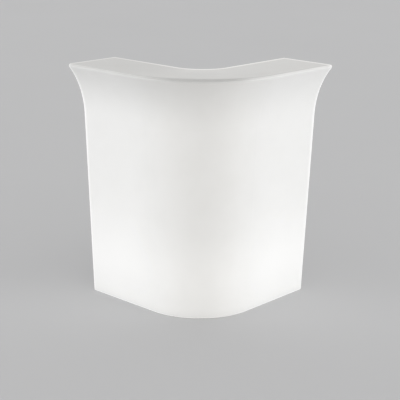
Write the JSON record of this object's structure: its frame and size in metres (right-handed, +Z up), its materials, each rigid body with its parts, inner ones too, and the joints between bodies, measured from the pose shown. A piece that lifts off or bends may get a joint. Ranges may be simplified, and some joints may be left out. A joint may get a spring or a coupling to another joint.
{
  "type": "illuminated corner bar counter",
  "caption": "Right-angled bar counter with a rounded corner and a flared front, a hollow translucent white body lit from inside, on levelling feet.",
  "frame": {"origin": "on the floor, under the middle of the counter's box", "axes": "+X to the guests' right along the counter's width, +Y from the guests towards the server, +Z up"},
  "size_m": [1.1646, 0.6052, 1.1],
  "materials": {
    "shell_plastic": "satin, translucent, lit from inside",
    "foot_rubber": "matt moulded",
    "stud_steel": "zinc plated",
    "insert_brass": "turned",
    "cover_plastic": "fine moulded grain",
    "seal_rubber": "soft matt",
    "screw_steel": "stainless",
    "bracket_steel": "white powder coat",
    "holder_white": "glazed white",
    "cap_metal": "nickel plated",
    "bulb_white": "gloss",
    "globe_opal": "opal, lit",
    "board_white": "white board",
    "cable_white": "smooth jacket",
    "clip_plastic": "moulded",
    "gland_grey": "moulded",
    "switch_black": "moulded"
  },
  "bodies": {
    "counter": {"bulb_body_left": "bulb_white", "bulb_body_right": "bulb_white", "bulb_cap_left": "cap_metal", "bulb_cap_right": "cap_metal", "bulb_globe_left": "globe_opal", "bulb_globe_right": "globe_opal", "cable_clips": "clip_plastic", "counter_shell": "shell_plastic", "foot_inserts": "insert_brass", "gland_body": "gland_grey", "gland_dome_nut": "gland_grey", "gland_lock_nut": "gland_grey", "gland_seal": "seal_rubber", "hatch_cover_left": "cover_plastic", "hatch_cover_right": "cover_plastic", "hatch_gasket_left": "seal_rubber", "hatch_gasket_right": "seal_rubber", "hatch_inserts_left": "insert_brass", "hatch_inserts_right": "insert_brass", "hatch_screws_left": "screw_steel", "hatch_screws_right": "screw_steel", "lamp_bracket_left": "bracket_steel", "lamp_bracket_right": "bracket_steel", "lamp_fixings_left": "screw_steel", "lamp_fixings_right": "screw_steel", "lamp_holder_left": "holder_white", "lamp_holder_right": "holder_white", "led_board_left": "board_white", "led_board_right": "board_white", "link_cable": "cable_white", "shelf_grommet_left": "seal_rubber", "shelf_grommet_right": "seal_rubber", "switch_blades": "insert_brass", "switch_housing": "switch_black", "terminal_block": "clip_plastic"},
    "foot_corner": {"foot_pad_corner": "foot_rubber", "foot_stud_corner": "stud_steel"},
    "foot_left_front": {"foot_pad_left_front": "foot_rubber", "foot_stud_left_front": "stud_steel"},
    "foot_left_back": {"foot_pad_left_back": "foot_rubber", "foot_stud_left_back": "stud_steel"},
    "foot_right_front": {"foot_pad_right_front": "foot_rubber", "foot_stud_right_front": "stud_steel"},
    "foot_right_back": {"foot_pad_right_back": "foot_rubber", "foot_stud_right_back": "stud_steel"},
    "switch_rocker": {"switch_rocker": "switch_black"}
  },
  "joints": [
    {"name": "foot_corner_height", "type": "slide", "parent": "counter", "child": "foot_corner", "axis": [0, 0, -1], "range_m": [0, 0.015]},
    {"name": "foot_left_front_height", "type": "slide", "parent": "counter", "child": "foot_left_front", "axis": [0, 0, -1], "range_m": [0, 0.015]},
    {"name": "foot_left_back_height", "type": "slide", "parent": "counter", "child": "foot_left_back", "axis": [0, 0, -1], "range_m": [0, 0.015]},
    {"name": "foot_right_front_height", "type": "slide", "parent": "counter", "child": "foot_right_front", "axis": [0, 0, -1], "range_m": [0, 0.015]},
    {"name": "foot_right_back_height", "type": "slide", "parent": "counter", "child": "foot_right_back", "axis": [0, 0, -1], "range_m": [0, 0.015]},
    {"name": "switch_tilt", "type": "hinge", "parent": "counter", "child": "switch_rocker", "pos_m": [0.26976, 0.18675, 0.147], "axis": [0.7071, 0.7071, 0], "range_deg": [-24, 0]}
  ]
}
